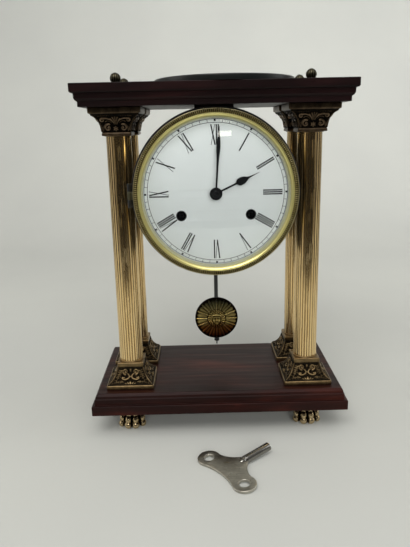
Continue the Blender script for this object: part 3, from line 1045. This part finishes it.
def build_bob():
    na, cz, cy = 512, 98.3, 7.0
    a = np.arange(na) * 2 * math.pi / na
    rs = list(np.arange(0.16, 11.0, 0.16)) + list(np.arange(11.0, 22.0, 0.24)) + [22.1, 22.35, 22.6, 22.75, 22.8]
    V, A, rings = [(0, 8.4 - float(bob_height(np.zeros(1), np.zeros(1), np.zeros(1), np.zeros(1))[0]), cz)], [0.5], []

    def height(X, Z):
        return bob_height(X, Z, np.hypot(X, Z), np.arctan2(X, Z) % (2 * math.pi))
    for r in rs:
        X, Z = r * np.sin(a), r * np.cos(a)
        H = bob_height(X, Z, np.full(na, r), a)
        if r < 9.4:
            near = sum(height(X + d * math.cos(t), Z + d * math.sin(t)) for d in (0.7, 1.4) for t in np.arange(8) * math.pi / 4) / 16
        rings.append(range(len(V), len(V) + na))
        V += [(X[i], 8.4 - H[i], cz + Z[i]) for i in range(na)]
        base = np.interp(r, [0, 9, 11, 20.8, 22.8], [4.6, 4.2, 3.5, 2.9, 2.2])
        A += list(np.clip(0.46 + (H - near) * 1.5 if r < 9.4 else 0.18 + (H - base) / 1.5 * 0.72, 0, 0.95))
    F = [(0, rings[0][i], rings[0][(i + 1) % na]) for i in range(na)]
    for P, Q in zip(rings[:-1], rings[1:]):
        F += [(P[i], Q[i], Q[(i + 1) % na], P[(i + 1) % na]) for i in range(na)]
    last = rings[-1]
    for r, y in ((22.8, 8.0), (22.6, 8.4), (22.0, 8.7), (20.8, 9.6), (11, 11.0), (4, 11.35)):
        ring = range(len(V), len(V) + na)
        V += [(r * math.sin(t), y, cz + r * math.cos(t)) for t in a]
        A += [0.35] * na
        F += [(last[i], ring[i], ring[(i + 1) % na], last[(i + 1) % na]) for i in range(na)]
        last = ring
    V.append((0, 11.4, cz))
    A.append(0.35)
    F += [(last[i], len(V) - 1, last[(i + 1) % na]) for i in range(na)]
    make("bob_sunburst", np.array(V), F, BOB_BRASS, body="bob", rep="bob", attrs={"rel": A}, smooth=70)


# ---------------------------------------------------------------- loose pieces
def build_cap():
    prof = fillet([(66.5, 335.0), (66.5, 339.4), (65.4, 340.2), (0, 340.2), (0, 339.4), (65.0, 339.4), (65.7, 338.8), (65.7, 335.0)], [0.15, 0.5, 0.6, 0, 0, 0.3, 0.3, 0.15], True, 4)
    V, F = lathe(prof, 300, "z", (11, 0))
    make("dust_cap_pressed", V, F, CAP, body="dust_cap", rep="dust_cap", smooth=35)


def build_key():
    out = []
    hl = 24.7
    # right-hand lobe (local +y) then the neck, mirrored for the other side
    lobe = [(10.6 * math.cos(math.radians(t)), hl + 10.6 * math.sin(math.radians(t))) for t in np.linspace(-14, 200, 44)]
    front = spline([(10.3, hl - 2.6), (10.9, 18.6), (13.2, 13.6), (17.2, 8.6), (20.4, 6.0), (22.0, 4.6)], 6)
    back = spline([(-9.9, hl - 3.6), (-8.6, 17.6), (-7.0, 10.4), (-6.2, 4.0), (-6.0, 0)], 6)
    side = list(reversed(front)) + lobe + back
    low = [(x, -y) for x, y in reversed(side)][1:]
    pts = side + low
    V, F = plate([pts, circle(0, hl, 4.7, 64), circle(0, -hl, 4.7, 64)], 1.3, 0.7, 4, "bow")
    parts = [(V, F)]
    # shoulder where the plate runs into the barrel
    a = np.arange(64) * 2 * math.pi / 64
    rings, VV = [], []
    for x, r in [(15.2, 0.01), (15.4, 0.9), (16.4, 1.9), (18.0, 2.6), (19.0, 2.75), (19.02, 3.7), (19.2, 3.96), (20.3, 4.0), (20.6, 3.82), (20.9, 3.82), (21.2, 4.0), (24, 4.0), (36, 4.0), (50.4, 4.0), (50.8, 3.92), (51.0, 3.7)]:
        rings.append(list(range(len(VV), len(VV) + 64)))
        VV += [(x, r * math.sin(t), r * math.cos(t)) for t in a]

    def sq(t, s):
        c, q = math.sin(t), math.cos(t)
        k = s / max(abs(c), abs(q))
        return c * k, q * k
    for x, s in [(51.0, 1.95), (50.8, 1.85), (33.0, 1.85), (33.0, 0.2)]:
        rings.append(list(range(len(VV), len(VV) + 64)))
        VV += [(x, *sq(t, s)) for t in a]
    FF = []
    for P, Q in zip(rings[:-1], rings[1:]):
        FF += [(P[i], P[(i + 1) % 64], Q[(i + 1) % 64], Q[i]) for i in range(64)]
    FF += [tuple(reversed(rings[0])), tuple(rings[-1])]
    barrel = (np.array(VV), FF)
    M = Matrix.Translation((2.5, -128.6, 2.26)) @ Matrix.Rotation(math.radians(36.3), 4, "Z") @ Matrix.Rotation(math.radians(-5.212), 4, "Y")

    def put(V):
        R = np.array(M)
        return np.asarray(V) @ R[:3, :3].T + R[:3, 3]
    V, F, _ = merge([(put(V), F)])
    o = make("winding_key_bow", V, F, NICKEL, body="winding_key", smooth=35)
    V, F = barrel
    o = make("winding_key_barrel", put(V), F, NICKEL_BRIGHT, body="winding_key", rep="winding_key", smooth=35)


def build_bell():
    pts = [(22, -4), (21.6, 0), (20, 4), (17, 8), (12, 11), (6, 12.6), (1.6, 13)]
    out = spline(pts, 6)
    inn = spline([(1.6, 11.8), (5.8, 11.4), (11.4, 9.9), (16.1, 7.2), (18.9, 3.4), (20.4, -0.2), (20.8, -4)], 6)
    V, F = lathe(out + inn, 160, "y", (-36, DZ + 24))
    make("bell_turned", V, F, BELL, rep="bell", smooth=40)


ROPE_WORN = worn_brass("toothed_ring_brass", srgb("#241e0e"), srgb("#776a3a"), srgb("#c4b68a"), (0.45, 0.32), fine=0.3)
CAP_METAL = clean_metal("dull_hinge_brass", srgb("#6a6753"), srgb("#4c4a3a"), 0.4, 0.15, (500, 500, 500), 0.00002, 0.3)
SLOPE = clean_metal("bezel_slope_brass", srgb("#e6e2bc"), srgb("#dcd6a6"), 0.35, 0.12, (500, 500, 500), 0.00001, 0.1, 0.4)
CAP = lacquer("dust_cap_paint", srgb("#050706"), srgb("#0a0e0d"), 0.3, 0.1)

build_castings()
build_shafts()
build_boards()
build_feet()
build_finials()
build_drum()
build_dial()
build_bezel()
build_hands()
build_pendulum()
build_bob()
build_cap()
build_key()
build_bell()

# CAD nodes that stay: their finish, and crisp edges with smooth rounds
FINISH = {
    "tie_rods": STEEL, "drum_bolts": STEEL, "hinge_pin": CAP_METAL, "dial_feet": MOVEMENT, "front_plate": MOVEMENT, "back_plate": MOVEMENT,
    "plate_pillars": MOVEMENT, "ratchet_clicks": STEEL, "suspension_cock": MOVEMENT, "bell_post": STEEL, "centre_arbor": MOVEMENT,
    "hour_wheel": MOVEMENT, "minute_wheel": MOVEMENT, "second_wheel": MOVEMENT, "going_barrel": MOVEMENT, "going_arbor": ARBOR,
    "third_wheel": MOVEMENT, "escape_wheel": MOVEMENT, "anchor_crutch": BLUED, "strike_barrel": MOVEMENT, "strike_arbor": ARBOR,
    "strike_second_wheel": MOVEMENT, "pin_wheel": MOVEMENT, "fly": MOVEMENT, "hammer": BLUED, "suspension_spring": BLUED,
}
for name, o in NODES.items():
    m = FINISH.get(name)
    if m is None:
        continue
    o.data.materials.clear()
    o.data.materials.append(m)
    o.data.polygons.foreach_set("use_smooth", [True] * len(o.data.polygons))
    o.data.set_sharp_from_angle(angle=math.radians(32))


# ---------------------------------------------------------------- stage, lights, camera
def stage_sheet():
    """Pale paper: a floor that turns up into a backdrop far behind"""
    m = Mat("pale_paper")
    n = m.noise(m.map(3, 3, 3), 1.0, 3, 0.5)
    g = m.noise(m.map(260, 260, 260), 1.0, 3, 0.5)
    c = m.mixc(m.range(n, 0.3, 0.7, 0.0, 1.0), srgb("#bcbdb7"), srgb("#b6b7b2"))
    m.set(Base_Color=c, Roughness=m.range(g, 0.3, 0.7, 0.7, 0.85), Specular_IOR_Level=0.25)
    pts = [(y, 0.0) for y in np.linspace(-0.50, 0.85, 8)]
    pts += [(0.85 + 0.9 * math.sin(t), 0.9 - 0.9 * math.cos(t)) for t in np.linspace(0.08, math.pi / 2, 24)]
    pts += [(1.75, 1.6), (1.75, 3.0)]
    V, F = [], []
    xs = np.linspace(-2.2, 2.2, 9)
    for y, z in pts:
        V += [(x, y, z) for x in xs]
    k = len(xs)
    for i in range(len(pts) - 1):
        for j in range(k - 1):
            F.append((i * k + j, i * k + j + 1, (i + 1) * k + j + 1, (i + 1) * k + j))
    me = bpy.data.meshes.new("paper_sweep")
    me.from_pydata([tuple(float(c) for c in v) for v in V], [], F)
    me.polygons.foreach_set("use_smooth", [True] * len(me.polygons))
    me.materials.append(m.m)
    o = bpy.data.objects.new("paper_sweep", me)
    bpy.context.scene.collection.objects.link(o)


stage_sheet()


def area(name, loc, target, sx, sy, watts, color=(1, 1, 1), spread=180):
    l = bpy.data.lights.new(name, "AREA")
    l.shape, l.size, l.size_y, l.energy, l.color = "RECTANGLE", sx, sy, watts, color
    l.spread = math.radians(spread)
    o = bpy.data.objects.new(name, l)
    o.location = loc
    o.rotation_mode = "QUATERNION"
    o.rotation_quaternion = (Vector(target) - Vector(loc)).to_track_quat("-Z", "Y")
    bpy.context.scene.collection.objects.link(o)
    return o


cam_loc = Vector((-0.0156, -0.5159, 0.2964))
area("softbox_above", (0.1, -0.6, 1.9), (0, -0.1, 0), 2.2, 1.2, 8.5, (1.0, 0.995, 0.98))
area("softbox_front", (-0.35, -1.5, 1.95), (0, 0, 0.15), 1.7, 0.9, 28, (1.0, 0.995, 0.985))
fill = area("front_fill", (0.25, -2.0, 0.7), (0, 0, 0.2), 1.8, 1.0, 32, (0.985, 0.995, 0.99))
fill.visible_glossy = False
area("softbox_left", (-1.9, -0.1, 1.0), (0, 0, 0.15), 1.0, 1.2, 5, (1.0, 0.98, 0.95))
area("softbox_right", (1.9, 0.1, 1.0), (0, 0, 0.15), 0.9, 1.2, 5, (0.98, 0.99, 1.0))
area("wall_wash", (0.7, 0.4, 2.3), (0.8, 1.7, 0.9), 2.6, 0.5, 15.5, (1, 1, 1), 110)

# window-like panel whose image falls on the upper part of the dome
R_DOME = (66 ** 2 + 8 ** 2) / 16 * MM
centre = Vector((0, CY - 60.5 * MM + R_DOME, DZ * MM))
spot = Vector((0.0084, 0, DZ * MM + 0.0537))
spot.y = centre.y - math.sqrt(R_DOME ** 2 - spot.x ** 2 - (spot.z - DZ * MM) ** 2)
nrm = (spot - centre).normalized()
inc = (spot - cam_loc).normalized()
refl = inc - 2 * inc.dot(nrm) * nrm
win = spot + refl * 2.4
area("window_panel", tuple(win), tuple(spot), 0.27, 0.10, 0.55, (1.0, 0.97, 0.86))

w = bpy.data.worlds.new("studio")
bpy.context.scene.world = w
w.use_nodes = True
nt = w.node_tree
nt.nodes.clear()
tc = nt.nodes.new("ShaderNodeTexCoord")
sep = nt.nodes.new("ShaderNodeSeparateXYZ")
nt.links.new(tc.outputs["Generated"], sep.inputs[0])


def wnode(op, a, b=0.0):
    n = nt.nodes.new("ShaderNodeMath")
    n.operation = op
    for i, v in enumerate((a, b)):
        if hasattr(v, "links"):
            nt.links.new(v, n.inputs[i])
        else:
            n.inputs[i].default_value = v
    return n.outputs[0]


def wstep(v, a, b):
    n = nt.nodes.new("ShaderNodeMapRange")
    n.interpolation_type = "SMOOTHSTEP"
    nt.links.new(v, n.inputs["Value"])
    n.inputs["From Min"].default_value, n.inputs["From Max"].default_value = a, b
    return n.outputs[0]


# room: dim in front, brighter to the sides and behind, bright overhead
side_l = wnode("MULTIPLY", wstep(wnode("MULTIPLY", sep.outputs["X"], -1.0), 0.45, 0.95), 0.30)
side_r = wnode("MULTIPLY", wstep(sep.outputs["X"], 0.5, 0.97), 0.24)
back = wnode("MULTIPLY", wstep(sep.outputs["Y"], 0.1, 0.8), 0.5)
top = wnode("MULTIPLY", wstep(sep.outputs["Z"], 0.35, 0.9), 0.5)
level = wnode("ADD", wnode("MAXIMUM", wnode("MAXIMUM", side_l, side_r), wnode("MAXIMUM", back, top)), 0.018)
bg = nt.nodes.new("ShaderNodeBackground")
bg.inputs["Color"].default_value = (1.0, 0.985, 0.95, 1)
nt.links.new(level, bg.inputs["Strength"])
lp = nt.nodes.new("ShaderNodeLightPath")
bg2 = nt.nodes.new("ShaderNodeBackground")
bg2.inputs["Color"].default_value = (0.56, 0.565, 0.55, 1)
bg2.inputs["Strength"].default_value = 1.0
mx = nt.nodes.new("ShaderNodeMixShader")
nt.links.new(lp.outputs["Is Camera Ray"], mx.inputs[0])
nt.links.new(bg.outputs[0], mx.inputs[1])
nt.links.new(bg2.outputs[0], mx.inputs[2])
wo = nt.nodes.new("ShaderNodeOutputWorld")
nt.links.new(mx.outputs[0], wo.inputs[0])

bpy.context.scene.view_settings.view_transform = "Standard"
bpy.context.scene.view_settings.look = "None"

cd = bpy.data.cameras.new("photo_view")
cd.lens, cd.sensor_width, cd.sensor_fit = 36.8, 36.0, "AUTO"
cd.clip_start, cd.clip_end = 0.02, 30
cam = bpy.data.objects.new("photo_view", cd)
cam.matrix_world = (Matrix.Translation(cam_loc) @ Matrix.Rotation(math.radians(-0.4346), 4, "Z")
                    @ Matrix.Rotation(math.radians(90 - 14.6591), 4, "X") @ Matrix.Rotation(math.radians(-1.2923), 4, "Z"))
bpy.context.scene.collection.objects.link(cam)
bpy.context.scene.camera = cam
